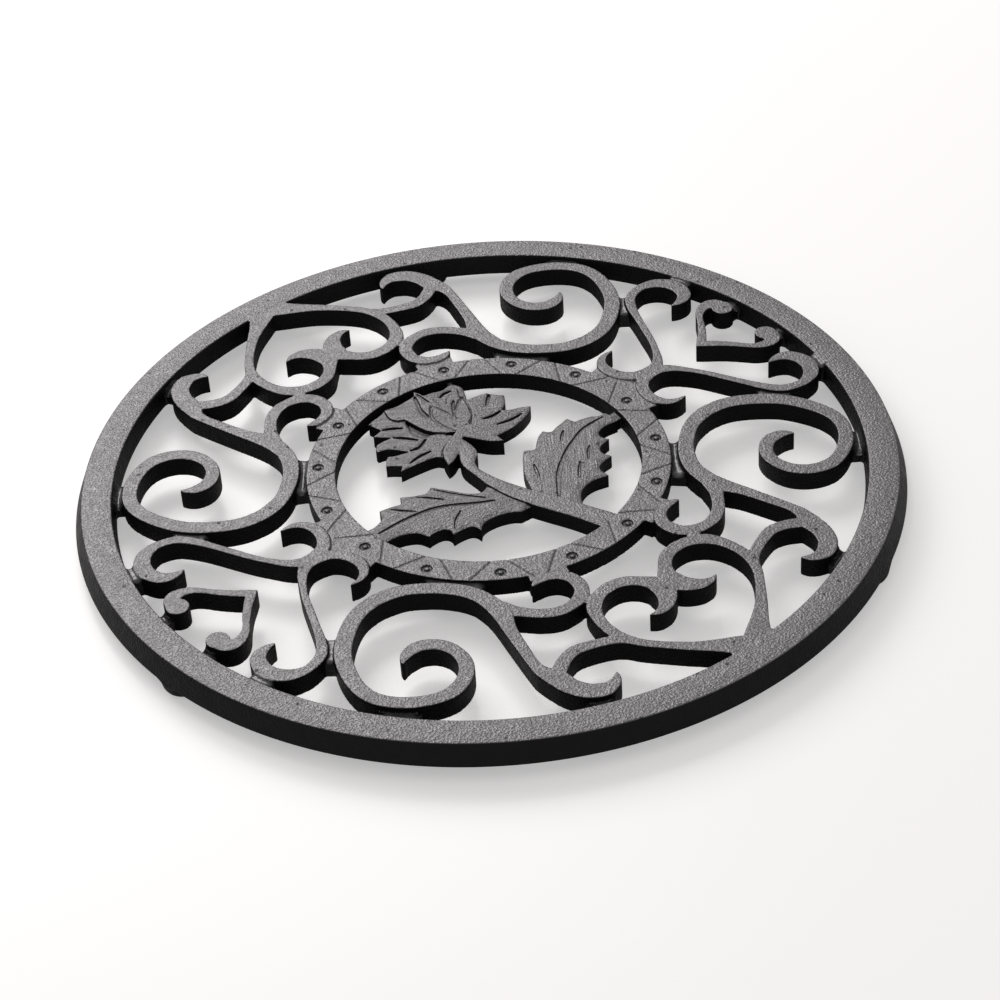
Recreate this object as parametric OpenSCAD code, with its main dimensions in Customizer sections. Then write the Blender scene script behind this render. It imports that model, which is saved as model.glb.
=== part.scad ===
// Round cast-iron trivet. Scroll bars fill the space between a flat rim and an
// engraved band, and a flower with two leaves grows inside the band.
// It stands on three small domed feet. The flower grows along +Y, the two
// hearts lie on the X axis, and the table is at zero height.

/* [Rim] */
// Radius of the rim's top edge
rim_r = 100; // [88:1:115]
// Width of the rim's flat top
rim_w = 7.4; // [6.4:0.1:8.6]
// Thickness of the rim
rim_h = 5.6; // [4.8:0.1:7]
// Spread of the rim's outer side from its top down to its underside
rim_outer_draft = 2.2; // [0.8:0.1:3]
// Spread of the rim's inner side from its top down to its underside
rim_inner_draft = 0.8; // [0.3:0.1:1.2]

/* [Scroll bars] */
// Width of a full scroll bar
bar_w = 4.2; // [3.6:0.1:4.6]
// Thickness of the scroll bars
bar_h = 5.2; // [4.6:0.1:5.6]
// Width of the cast necks that tie the hooks and hearts to the rim
neck_w = 5.4; // [4:0.1:6]
// Drop of the necks' tops below the scroll bars
neck_drop = 1.5; // [0.8:0.1:2]
// Gap between the rim and the bars that come nearest to it
neck_gap = 2.3; // [1.6:0.1:3]

/* [Band] */
// Outer radius of the engraved band
band_outer_r = 44.9; // [42:0.1:46.5]
// Width of the engraved band
band_w = 7.2; // [5.6:0.1:9]
// Gap between the band and the bellies of the big scrolls
band_gap = 2; // [1.4:0.1:3]
// Drop of the band's top below the scroll bars
band_drop = 0.5; // [0.3:0.1:1]
// Number of ring marks and V grooves round the band
mark_count = 15; // [9:1:18]
// Outer radius of a ring mark
mark_r = 1.35; // [0.9:0.05:1.6]
// Width of the engraved grooves
groove_w = 0.55; // [0.4:0.05:0.8]
// Depth of the engraved grooves
groove_d = 0.45; // [0.25:0.05:0.6]

/* [Flower] */
// Width of the flower's stem where it leaves the band
stem_w = 5.8; // [4.6:0.1:6.6]
// Step in height from one layer of petals to the next
petal_step = 0.5; // [0.3:0.05:0.6]
// Width of the groove along each leaf's midrib
midrib_w = 0.9; // [0.6:0.1:1.2]

/* [Feet] */
// Radius of each foot where it meets the rim
foot_r = 5.2; // [4:0.1:6]
// Height of each foot below the rim
foot_h = 3.4; // [2.4:0.1:5]
// Radius of the flat that touches the table
foot_flat_r = 3.4; // [2:0.1:3.9]

/* [Hidden] */
$fn = 96;
// Steps of each curve between two of its knots
steps = 4;
// Overrun of a cut past the surface that it opens
over = 1;

rim_inner_r = rim_r - rim_w;
band_inner_r = band_outer_r - band_w;
rim_top = foot_h + rim_h;
bar_under = rim_top - bar_h;
band_top = rim_top - band_drop;
foot_reach = (rim_r + rim_outer_draft + rim_inner_r - rim_inner_draft) / 2;

// The bars are drawn in shares of the rim's radius. These pairs say which radius each share stands for.
reach = [
    [0, 0],
    [0.377, band_inner_r],
    [0.449, band_outer_r],
    [0.490, band_outer_r + band_gap + bar_w / 2],
    [0.882, rim_inner_r - neck_gap - bar_w / 2],
    [0.926, rim_inner_r],
    [1, rim_r],
];

// Knots of the bars, each as [x share, y share, share of a full bar's width]
big_scroll_shares = [
    [0.287, 0.789, 0.12], [0.301, 0.804, 0.52], [0.321, 0.813, 0.81], [0.346, 0.812, 1.07],
    [0.376, 0.789, 1.14], [0.393, 0.751, 1.19], [0.397, 0.710, 1.26], [0.406, 0.675, 0.88],
    [0.403, 0.640, 0.67], [0.392, 0.600, 0.69], [0.368, 0.520, 0.79], [0.352, 0.480, 1.02],
    [0.340, 0.440, 1.17], [0.339, 0.400, 1.07], [0.345, 0.365, 1.02], [0.363, 0.327, 1.00],
    [0.396, 0.286, 0.95], [0.448, 0.244, 0.93], [0.494, 0.226, 1.00], [0.534, 0.222, 1.00],
    [0.578, 0.229, 1.00], [0.620, 0.250, 1.00], [0.663, 0.284, 1.02], [0.694, 0.318, 1.00],
    [0.716, 0.358, 0.98], [0.732, 0.404, 0.93], [0.738, 0.445, 0.90], [0.733, 0.482, 0.90],
    [0.716, 0.515, 0.88], [0.682, 0.551, 0.90], [0.636, 0.578, 0.86], [0.591, 0.586, 0.93],
    [0.546, 0.571, 0.90], [0.513, 0.536, 0.88], [0.502, 0.490, 0.83], [0.514, 0.447, 0.86],
    [0.546, 0.419, 0.88], [0.579, 0.416, 0.81], [0.602, 0.425, 0.52], [0.617, 0.439, 0.12],
];
ring_hook_shares = [
    [0.330, 0.435, 0.86], [0.319, 0.470, 0.86], [0.300, 0.498, 0.76], [0.279, 0.522, 0.76],
    [0.250, 0.542, 0.79], [0.220, 0.549, 0.76], [0.185, 0.544, 0.83], [0.156, 0.523, 0.86],
    [0.145, 0.493, 0.86], [0.147, 0.468, 0.81], [0.164, 0.444, 0.71], [0.189, 0.432, 0.60],
    [0.213, 0.430, 0.50], [0.232, 0.436, 0.12],
];
arch_shares = [
    [-0.006, 0.946, 1.95], [0.034, 0.907, 1.42], [0.070, 0.875, 0.98], [0.108, 0.841, 0.71],
    [0.150, 0.795, 0.57], [0.184, 0.750, 0.60], [0.201, 0.708, 0.69], [0.204, 0.665, 0.69],
    [0.195, 0.622, 0.76], [0.176, 0.588, 0.90], [0.142, 0.566, 0.83], [0.103, 0.560, 0.83],
    [0.066, 0.570, 0.83], [0.037, 0.597, 0.83], [0.019, 0.630, 1.24], [0.025, 0.667, 1.24],
    [0.052, 0.696, 0.88], [0.080, 0.704, 0.52], [0.104, 0.697, 0.10],
];
saddle_shares = [
    [0.190, 0.746, 0.38], [0.206, 0.715, 0.71], [0.230, 0.699, 0.69], [0.263, 0.684, 0.71],
    [0.305, 0.671, 0.79], [0.340, 0.677, 0.81], [0.372, 0.694, 0.86], [0.400, 0.715, 0.86],
];
lyre_shares = [
    [0.534, 0.138, 0.10], [0.506, 0.137, 0.38], [0.482, 0.123, 0.57], [0.469, 0.096, 0.69],
    [0.469, 0.069, 0.74], [0.478, 0.042, 0.76], [0.499, 0.017, 0.81], [0.535, 0.004, 0.93],
    [0.566, 0.009, 0.81], [0.593, 0.030, 0.62], [0.618, 0.066, 0.45], [0.637, 0.100, 0.45],
    [0.659, 0.150, 0.48], [0.682, 0.203, 0.50], [0.704, 0.250, 0.62], [0.730, 0.285, 0.67],
    [0.763, 0.300, 0.64], [0.793, 0.302, 0.71], [0.825, 0.290, 0.93], [0.848, 0.263, 1.02],
    [0.854, 0.230, 1.02], [0.844, 0.199, 0.93], [0.824, 0.184, 0.76], [0.802, 0.180, 0.45],
    [0.783, 0.182, 0.10],
];
heart_shares = [
    [0.699, -0.020, 0.62], [0.719, 0, 0.62], [0.752, 0.032, 0.55], [0.777, 0.061, 0.48],
    [0.793, 0.083, 0.43], [0.812, 0.104, 0.52], [0.835, 0.116, 0.72], [0.859, 0.117, 0.86],
    [0.877, 0.106, 0.74], [0.886, 0.088, 0.45],
];
heart_lobe_share = [0.872, 0.081];
heart_lobe_r_share = 0.68;

// Knots of the flower's outlines, each as [x share, y share, corner], with corner 1 at a tip or a notch
left_petals_shares = [
    [-0.043, 0.363, 1], [-0.063, 0.356, 0], [-0.090, 0.352, 0], [-0.107, 0.346, 1], [-0.103, 0.326, 0],
    [-0.099, 0.304, 1], [-0.129, 0.297, 1], [-0.119, 0.284, 0], [-0.097, 0.262, 1], [-0.140, 0.265, 0],
    [-0.159, 0.249, 1], [-0.160, 0.239, 0], [-0.144, 0.234, 0], [-0.127, 0.220, 0], [-0.102, 0.185, 1],
    [-0.139, 0.197, 0], [-0.157, 0.205, 0], [-0.182, 0.178, 1], [-0.169, 0.168, 0], [-0.152, 0.151, 1],
    [-0.169, 0.136, 1], [-0.127, 0.132, 0], [-0.073, 0.123, 0], [-0.057, 0.107, 1], [-0.011, 0.132, 0],
    [0.019, 0.162, 0], [-0.001, 0.232, 0], [-0.011, 0.312, 0], [-0.021, 0.352, 1],
];
bud_shares = [
    [0.027, 0.165, 1], [-0.005, 0.192, 0], [-0.021, 0.224, 0], [-0.027, 0.259, 0], [-0.031, 0.292, 0],
    [-0.046, 0.302, 0], [-0.055, 0.325, 0], [-0.045, 0.360, 1], [-0.013, 0.352, 0], [0.035, 0.353, 1],
    [0.051, 0.357, 1], [0.060, 0.373, 1], [0.065, 0.353, 0], [0.071, 0.328, 0], [0.076, 0.301, 0],
    [0.073, 0.275, 1], [0.084, 0.271, 1], [0.108, 0.291, 0], [0.138, 0.302, 0], [0.148, 0.303, 1],
    [0.135, 0.281, 0], [0.127, 0.265, 1], [0.140, 0.269, 1], [0.131, 0.241, 0], [0.121, 0.217, 0],
    [0.106, 0.194, 0], [0.086, 0.175, 0], [0.079, 0.160, 1],
];
inner_petal_shares = [
    [0.052, 0.289, 1], [0.038, 0.273, 0], [0.024, 0.252, 0], [0.020, 0.215, 0], [0.026, 0.180, 0],
    [0.034, 0.161, 1], [0.050, 0.163, 0], [0.059, 0.185, 0], [0.063, 0.220, 0], [0.060, 0.260, 0],
];
side_petal_shares = [
    [0.137, 0.265, 1], [0.114, 0.255, 0], [0.089, 0.238, 0], [0.068, 0.219, 1], [0.061, 0.185, 0],
    [0.054, 0.161, 1], [0.076, 0.156, 1], [0.083, 0.171, 0], [0.103, 0.190, 0], [0.118, 0.213, 0],
    [0.128, 0.237, 0],
];
bud_pit_shares = [
    [0.053, 0.359, 1], [0.041, 0.347, 0], [0.029, 0.317, 0], [0.015, 0.291, 0], [0.012, 0.255, 1],
    [0.023, 0.261, 0], [0.029, 0.299, 0], [0.041, 0.327, 0],
];
left_petals_pit_shares = [
    [-0.031, 0.296, 1], [-0.040, 0.269, 0], [-0.050, 0.237, 0], [-0.039, 0.199, 1], [-0.015, 0.199, 0],
    [0.019, 0.162, 1], [0.029, 0.168, 0], [0.009, 0.242, 0],
];
right_petals_shares = [
    [0.059, 0.342, 1], [0.071, 0.346, 1], [0.095, 0.341, 0], [0.120, 0.331, 0], [0.154, 0.337, 1],
    [0.165, 0.309, 0], [0.155, 0.281, 0], [0.140, 0.255, 1], [0.170, 0.249, 0], [0.194, 0.242, 1],
    [0.205, 0.222, 0], [0.221, 0.203, 1], [0.199, 0.173, 0], [0.174, 0.159, 1], [0.194, 0.144, 0],
    [0.214, 0.136, 0], [0.239, 0.120, 1], [0.223, 0.105, 0], [0.195, 0.092, 0], [0.174, 0.086, 0],
    [0.142, 0.081, 0], [0.089, 0.084, 1], [0.069, 0.152, 0], [0.069, 0.212, 0], [0.059, 0.272, 0],
];
sepals_shares = [
    [0.044, 0.175, 1], [0.020, 0.155, 1], [-0.018, 0.139, 0], [-0.045, 0.121, 0], [-0.063, 0.097, 0],
    [-0.075, 0.064, 1], [-0.058, 0.067, 0], [-0.038, 0.077, 0], [-0.011, 0.094, 0], [0.009, 0.113, 0],
    [0.026, 0.130, 1], [0.041, 0.102, 0], [0.061, 0.069, 0], [0.088, 0.044, 1], [0.089, 0.064, 0],
    [0.090, 0.089, 0], [0.081, 0.126, 0], [0.076, 0.157, 1],
];
stem_shares = [
    [0.014, 0.128, 0.17], [0.007, 0.097, 0.48], [-0.008, 0.068, 0.78], [-0.032, 0.039, 0.58],
    [-0.040, 0.005, 0.41], [-0.040, -0.025, 0.45], [-0.037, -0.070, 0.62], [-0.028, -0.115, 0.78],
    [-0.013, -0.165, 0.86], [0.013, -0.230, 0.91], [0.035, -0.285, 0.91], [0.060, -0.355, 1],
    [0.072, -0.390, 1.03],
];
left_leaf_shares = [
    [-0.383, 0.007, 1], [-0.353, 0.007, 0], [-0.333, 0.012, 0], [-0.318, 0.021, 0], [-0.305, 0.047, 1],
    [-0.283, 0.043, 0], [-0.263, 0.037, 0], [-0.249, 0.034, 0], [-0.235, 0.055, 1], [-0.213, 0.039, 0],
    [-0.183, 0.024, 0], [-0.168, 0.027, 0], [-0.156, 0.034, 1], [-0.138, 0.004, 0], [-0.123, -0.021, 0],
    [-0.108, -0.046, 0], [-0.083, -0.067, 0], [-0.053, -0.061, 1], [-0.013, -0.131, 1], [-0.023, -0.196, 1],
    [-0.059, -0.194, 1], [-0.073, -0.181, 0], [-0.093, -0.171, 0], [-0.113, -0.165, 0], [-0.138, -0.163, 0],
    [-0.158, -0.167, 0], [-0.174, -0.181, 1], [-0.176, -0.161, 0], [-0.188, -0.151, 0], [-0.213, -0.147, 0],
    [-0.233, -0.148, 1], [-0.228, -0.131, 0], [-0.236, -0.116, 0], [-0.258, -0.111, 0], [-0.280, -0.113, 1],
    [-0.287, -0.089, 0], [-0.303, -0.073, 0], [-0.333, -0.061, 0], [-0.383, -0.057, 1],
];
right_leaf_shares = [
    [0.352, -0.036, 1], [0.330, -0.034, 0], [0.317, -0.023, 0], [0.287, -0.013, 0], [0.273, -0.010, 0],
    [0.267, 0.013, 1], [0.247, 0.009, 0], [0.222, 0.004, 0], [0.207, -0.001, 0], [0.197, 0.003, 0],
    [0.189, 0.016, 1], [0.167, 0.006, 0], [0.147, -0.010, 0], [0.127, -0.027, 0], [0.115, -0.021, 0],
    [0.103, -0.013, 1], [0.087, -0.028, 0], [0.067, -0.051, 0], [0.052, -0.071, 0], [0.037, -0.096, 0],
    [0.023, -0.126, 0], [0.010, -0.159, 1], [-0.003, -0.191, 1], [0.032, -0.291, 1], [0.064, -0.291, 1],
    [0.069, -0.271, 0], [0.083, -0.249, 0], [0.102, -0.233, 0], [0.127, -0.224, 0], [0.152, -0.224, 0],
    [0.187, -0.234, 1], [0.187, -0.209, 0], [0.194, -0.193, 0], [0.217, -0.184, 0], [0.245, -0.181, 1],
    [0.237, -0.159, 0], [0.242, -0.141, 0], [0.257, -0.131, 0], [0.287, -0.125, 1], [0.279, -0.109, 0],
    [0.280, -0.093, 0], [0.292, -0.083, 0], [0.317, -0.078, 0], [0.352, -0.083, 1],
];

// Grooves in the flower, each as knots [x share, y share, share of the groove's width]
left_leaf_groove_shares = [
    [[-0.363, -0.024, 0.6], [-0.293, -0.025, 1], [-0.233, -0.034, 1.3], [-0.193, -0.047, 1.4],
     [-0.153, -0.071, 1.2], [-0.118, -0.096, 1], [-0.078, -0.119, 0.6]],
    [[-0.208, 0.029, 0.4], [-0.188, -0.001, 0.8], [-0.165, -0.031, 0.4]],
    [[-0.158, 0.021, 0.4], [-0.138, -0.021, 0.9], [-0.115, -0.056, 0.9], [-0.088, -0.096, 0.4]],
    [[-0.218, -0.136, 0.4], [-0.193, -0.111, 0.8], [-0.163, -0.091, 0.4]],
    [[-0.283, 0.031, 0.4], [-0.265, 0.004, 0.8], [-0.243, -0.019, 0.4]],
];
right_leaf_groove_shares = [
    [[0.039, -0.219, 0.6], [0.067, -0.186, 1.2], [0.097, -0.151, 1.4], [0.132, -0.121, 1.3],
     [0.177, -0.091, 1.2], [0.217, -0.071, 1.1], [0.267, -0.051, 0.9], [0.337, -0.047, 0.5]],
    [[0.057, -0.126, 0.4], [0.069, -0.101, 0.9], [0.082, -0.076, 0.4]],
    [[0.192, -0.051, 0.4], [0.209, -0.035, 0.8], [0.227, -0.021, 0.4]],
    [[0.127, -0.196, 0.4], [0.147, -0.171, 0.8], [0.172, -0.146, 0.4]],
    [[0.192, -0.156, 0.4], [0.212, -0.131, 0.8], [0.232, -0.113, 0.4]],
];
bud_groove_shares = [
    [[0.110, 0.271, 0.4], [0.095, 0.254, 0.9], [0.077, 0.231, 0.4]],
    [[0.059, 0.359, 0.4], [0.058, 0.334, 0.8], [0.060, 0.307, 0.4]],
];
left_petals_groove_shares = [
    [[-0.096, 0.260, 0.5], [-0.076, 0.237, 1], [-0.056, 0.207, 0.5]],
    [[-0.099, 0.187, 0.5], [-0.071, 0.182, 1], [-0.039, 0.198, 0.5]],
    [[-0.097, 0.304, 0.5], [-0.076, 0.292, 1], [-0.053, 0.274, 0.5]],
    [[-0.131, 0.147, 0.4], [-0.096, 0.152, 0.9], [-0.061, 0.150, 0.4]],
];
right_petals_groove_shares = [
    [[0.196, 0.234, 0.5], [0.181, 0.219, 1], [0.159, 0.200, 0.5]],
    [[0.172, 0.158, 0.5], [0.145, 0.155, 1], [0.117, 0.162, 0.5]],
    [[0.204, 0.112, 0.4], [0.169, 0.110, 0.9], [0.127, 0.120, 0.4]],
    [[0.137, 0.312, 0.4], [0.115, 0.315, 0.8], [0.095, 0.309, 0.4]],
];

// Where a point drawn in shares lies on the part
function place(p) = norm(p) == 0 ? [0, 0] : p / norm(p) * lookup(norm(p), reach);

// A share t of the way from knot b to knot c, on a curve that also heeds the knots before and after
function between(a, b, c, d, t) =
    (2 * b + (c - a) * t + (2 * a - 5 * b + 4 * c - d) * t * t + (3 * b - a - 3 * c + d) * t * t * t) / 2;

// Knot i of an open curve, mirrored past either end
function open_knot(k, i) =
    i < 0 ? 2 * k[0] - k[1] : i == len(k) ? 2 * k[i - 1] - k[i - 2] : k[i];

// An open curve as placed points [x, y, width]
function curve(k, full) = [
    for (i = [0 : len(k) - 2]) for (j = [0 : steps - 1])
        let (q = between(open_knot(k, i - 1), k[i], k[i + 1], open_knot(k, i + 2), j / steps))
        let (p = place([q[0], q[1]]))
        [p[0], p[1], q[2] * full],
    let (e = k[len(k) - 1], p = place([e[0], e[1]])) [p[0], p[1], e[2] * full],
];

// One side of a curve, half its width away. The side is 1 or -1.
function flank(c, side) = [
    for (i = [0 : len(c) - 1])
        let (d = c[min(i + 1, len(c) - 1)] - c[max(i - 1, 0)])
        let (u = [-d[1], d[0]] / norm([d[0], d[1]]))
        [c[i][0], c[i][1]] + side * c[i][2] / 2 * u,
];

// A closed outline through knots [x share, y share, corner], bent smoothly except at the corners
function outline(k) = [
    for (i = [0 : len(k) - 1])
        let (n = len(k), b = k[i], c = k[(i + 1) % n])
        let (a = b[2] == 1 ? 2 * b - c : k[(i + n - 1) % n])
        let (d = c[2] == 1 ? 2 * c - b : k[(i + 2) % n])
        for (j = [0 : steps - 1]) let (q = between(a, b, c, d, j / steps)) place([q[0], q[1]]),
];

// Plan of a bar along its curve
module bar(shares, full) {
    c = curve(shares, full);
    left = flank(c, 1);
    right = flank(c, -1);
    polygon(concat(left, [for (i = [len(right) - 1 : -1 : 0]) right[i]]));
}

// Copies to the mirrored side of the X axis or of the Y axis, along with the first
module also_mirrored(axis) {
    children();
    mirror(axis) children();
}

module big_scroll_plan() bar(big_scroll_shares, bar_w);

module fleur_plan() {
    also_mirrored([1, 0, 0]) bar(arch_shares, bar_w);
}

module lyre_plan() {
    also_mirrored([0, 1, 0]) bar(lyre_shares, bar_w);
}

module heart_arm_plan() {
    intersection() {
        bar(heart_shares, bar_w);
        square(rim_r);
    }
}

module heart_lobe_plan() translate(place(heart_lobe_share)) circle(heart_lobe_r_share * bar_w);

module heart_plan() {
    also_mirrored([0, 1, 0]) {
        heart_arm_plan();
        heart_lobe_plan();
    }
}

module ring_hook_plan() {
    difference() {
        bar(ring_hook_shares, bar_w);
        big_scroll_plan();
        fleur_plan();
    }
}

module saddle_plan() {
    difference() {
        bar(saddle_shares, bar_w);
        big_scroll_plan();
        fleur_plan();
    }
}

// The solid of the rim, which also trims what runs into it
module rim_solid() {
    rotate_extrude($fn = 180) polygon([
        [rim_inner_r, rim_top],
        [rim_r, rim_top],
        [rim_r + rim_outer_draft, foot_h],
        [rim_inner_r - rim_inner_draft, foot_h],
    ]);
}

// A plan raised to a full bar whose top lies a drop below the rim's top
module raised(drop) translate([0, 0, bar_under]) linear_extrude(bar_h - drop) children();

// Turns or mirrors a north-east piece into the quadrant with these signs of x and y
module quadrant(x, y) mirror([x < 0 ? 1 : 0, 0, 0]) mirror([0, y < 0 ? 1 : 0, 0]) children();

// All four quadrants of a plan
module each_quadrant() {
    for (x = [-1, 1], y = [-1, 1]) quadrant(x, y) children();
}

module big_scroll(x, y) {
    color("dimgray") quadrant(x, y) raised(0) big_scroll_plan();
}

module ring_hook(x, y) {
    color("dimgray") quadrant(x, y) raised(0) ring_hook_plan();
}

module saddle_bar(x, y) {
    color("dimgray") quadrant(x, y) raised(0) saddle_plan();
}

module fleur(y) {
    color("dimgray") quadrant(1, y) difference() {
        also_mirrored([1, 0, 0]) raised(0) bar(arch_shares, bar_w);
        rim_solid();
    }
}

module lyre(x) {
    color("dimgray") quadrant(x, 1) also_mirrored([0, 1, 0]) raised(0) bar(lyre_shares, bar_w);
}

module heart(x) {
    color("dimgray") quadrant(x, 1) also_mirrored([0, 1, 0]) {
        raised(0) heart_arm_plan();
        raised(0) heart_lobe_plan();
    }
}

// Ring sector in plan, from one angle to the next
module sector(r, from, to) {
    intersection() {
        circle(r, $fn = 180);
        polygon([[0, 0], 2 * r * [cos(from), sin(from)], 2 * r * [cos(to), sin(to)]]);
    }
}

// Shares that place the band's pads, each as [first angle, last angle, radius share]
hook_pad_shares = [62, 74, 0.470];
lyre_pad_shares = [-14, 14, 0.485];

module pads_plan() {
    each_quadrant() sector(place([hook_pad_shares[2], 0])[0], hook_pad_shares[0], hook_pad_shares[1]);
    also_mirrored([1, 0, 0])
        sector(place([lyre_pad_shares[2], 0])[0], lyre_pad_shares[0], lyre_pad_shares[1]);
}

module band_plan() {
    difference() {
        union() {
            circle(band_outer_r, $fn = 180);
            pads_plan();
        }
        circle(band_inner_r, $fn = 180);
        each_quadrant() bar(ring_hook_shares, bar_w);
        each_quadrant() bar(lyre_shares, bar_w);
    }
}

// Groove of V section from plan point a to plan point b, in a top at zero height
module score(a, b) {
    d = b - a;
    translate(a) rotate(atan2(d[1], d[0])) rotate([90, 0, 90]) linear_extrude(norm(d)) polygon([
        [-groove_w / 2, over],
        [-groove_w / 2, 0],
        [0, -groove_d],
        [groove_w / 2, 0],
        [groove_w / 2, over],
    ]);
}

function polar(r, a) = [r * cos(a), r * sin(a)];

// Shares of the marks' pitch at which a V groove starts at the band's inside and ends at its outside
v_start_share = 0.083;
v_end_share = 0.417;
mark_place_share = 0.61;
mark_core_share = 0.4;

// One ring mark with the pair of V grooves that fans out from it, in a top at zero height
module mark_cut() {
    pitch = 360 / mark_count;
    a = polar(band_inner_r - groove_w, v_start_share * pitch);
    b = polar(band_outer_r + groove_w, v_end_share * pitch);
    score(a, b);
    mirror([0, 1, 0]) score(a, b);
    translate([band_inner_r + mark_place_share * (band_outer_r - band_inner_r), 0, -groove_d])
        linear_extrude(groove_d + over) difference() {
            circle(mark_r);
            circle(mark_core_share * mark_r);
        }
}

module band_ring() {
    color("dimgray") difference() {
        raised(band_drop) band_plan();
        for (i = [0 : mark_count - 1])
            translate([0, 0, band_top]) rotate(90 + i * 360 / mark_count) mark_cut();
    }
}

// A straight tie in plan, from one radius share to the next along an angle
module tie_plan(angle, from_share, to_share, width) {
    a = place([from_share, 0])[0];
    b = place([to_share, 0])[0];
    rotate(angle) translate([a, -width / 2]) square([b - a, width]);
}

// A group of four ties, one in each quadrant, trimmed by the rim
module tie_group(drop) {
    color("dimgray") for (x = [-1, 1], y = [-1, 1]) difference() {
        quadrant(x, y) raised(drop) children();
        rim_solid();
    }
}

// Angles and shares of the ties, each as [angle, first radius share, last radius share, share of neck_w]
hook_neck_shares = [66.2, 0.890, 0.950, 1.2];
spiral_neck_shares = [37.3, 0.880, 0.950, 1.8];
lyre_neck_shares = [16.2, 0.880, 0.950, 1.13];
heart_neck_shares = [5.4, 0.880, 0.950, 0.7];
scroll_neck_share = [0.699, 0.284];
scroll_neck_angle = 50;
scroll_neck_shares = [1.55, 0.8];
full_neck_share = 0.3;
half_neck_share = 0.6;
web_shares = [31, 48.5, 0.500];

module necks(shares, drop) {
    tie_group(drop) difference() {
        tie_plan(shares[0], shares[1], shares[2], shares[3] * neck_w);
        children();
    }
}

module scroll_necks() {
    tie_group(half_neck_share * neck_drop) difference() {
        translate(place(scroll_neck_share)) rotate(scroll_neck_angle)
            square([scroll_neck_shares[0] * neck_w, scroll_neck_shares[1] * bar_w], center = true);
        big_scroll_plan();
        lyre_plan();
    }
}

module band_webs() {
    tie_group(neck_drop) difference() {
        sector(place([web_shares[2], 0])[0], web_shares[0], web_shares[1]);
        circle(band_outer_r, $fn = 180);
        big_scroll_plan();
    }
}

// Drops of the flower's three levels below the bars
high = band_drop;
middle = band_drop + petal_step;
low = band_drop + 2 * petal_step;
pit_d = 2 * petal_step;

module bud_plan() polygon(outline(bud_shares));

module sepals_plan() {
    difference() {
        polygon(outline(sepals_shares));
        bud_plan();
    }
}

module left_petals_plan() {
    difference() {
        polygon(outline(left_petals_shares));
        bud_plan();
        sepals_plan();
    }
}

module right_petals_plan() {
    difference() {
        polygon(outline(right_petals_shares));
        bud_plan();
        sepals_plan();
    }
}

module stem_plan() {
    difference() {
        bar(stem_shares, stem_w);
        sepals_plan();
        bud_plan();
        band_plan();
    }
}

module left_leaf_plan() {
    difference() {
        polygon(outline(left_leaf_shares));
        stem_plan();
        band_plan();
    }
}

module right_leaf_plan() {
    difference() {
        polygon(outline(right_leaf_shares));
        stem_plan();
        band_plan();
    }
}

// Takes a set of grooves out of a piece whose top lies a drop below the rim's top
module grooved(sets, width, drop) {
    difference() {
        children();
        translate([0, 0, rim_top - drop - groove_d]) linear_extrude(groove_d + over)
            for (s = sets) bar(s, width);
    }
}

// Takes a pit out of a piece
module pitted(shares, drop) {
    difference() {
        children();
        translate([0, 0, rim_top - drop - pit_d]) linear_extrude(pit_d + over) polygon(outline(shares));
    }
}

module bud() {
    color("dimgray") {
        pitted(bud_pit_shares, middle) grooved(bud_groove_shares, midrib_w, middle)
            raised(middle) difference() {
                bud_plan();
                band_plan();
            }
        translate([0, 0, rim_top - middle]) linear_extrude(middle - high) {
            polygon(outline(inner_petal_shares));
            polygon(outline(side_petal_shares));
        }
    }
}

module left_petals() {
    color("dimgray") pitted(left_petals_pit_shares, low)
        grooved(left_petals_groove_shares, midrib_w, low) raised(low) left_petals_plan();
}

module right_petals() {
    color("dimgray") grooved(right_petals_groove_shares, midrib_w, low) raised(low) right_petals_plan();
}

module sepals() {
    color("dimgray") raised(high) sepals_plan();
}

module stem() {
    color("dimgray") raised(high) stem_plan();
}

module left_leaf() {
    color("dimgray") grooved(left_leaf_groove_shares, midrib_w, middle) raised(middle) left_leaf_plan();
}

module right_leaf() {
    color("dimgray") grooved(right_leaf_groove_shares, midrib_w, middle) raised(middle) right_leaf_plan();
}

// Knots of the small ties between the flower and the band, each as [x share, y share, share of midrib_w]
flower_tie_shares = [
    [[0.140, 0.310, 1.3], [0.156, 0.345, 1.3], [0.172, 0.380, 1.3]],
    [[0.325, -0.060, 3.6], [0.350, -0.060, 3.6], [0.400, -0.060, 3.6]],
];

module flower_ties() {
    color("dimgray") for (s = flower_tie_shares) raised(low + petal_step) difference() {
        bar(s, midrib_w);
        band_plan();
        bud_plan();
        right_petals_plan();
        right_leaf_plan();
    }
}

// Angles of the three feet. The first two are seen in the photo.
foot_angles = [184, 296, 60];

// Domed foot with a small flat, standing on the table at zero height
module foot(angle) {
    color("dimgray") translate(polar(foot_reach, angle)) rotate_extrude() polygon(concat(
        [[0, 0], [foot_flat_r, 0]],
        [for (a = [-75 : 15 : 0]) [
            foot_flat_r + (foot_r - foot_flat_r) * cos(a),
            foot_h + foot_h * sin(a),
        ]],
        [[0, foot_h]]
    ));
}

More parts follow.
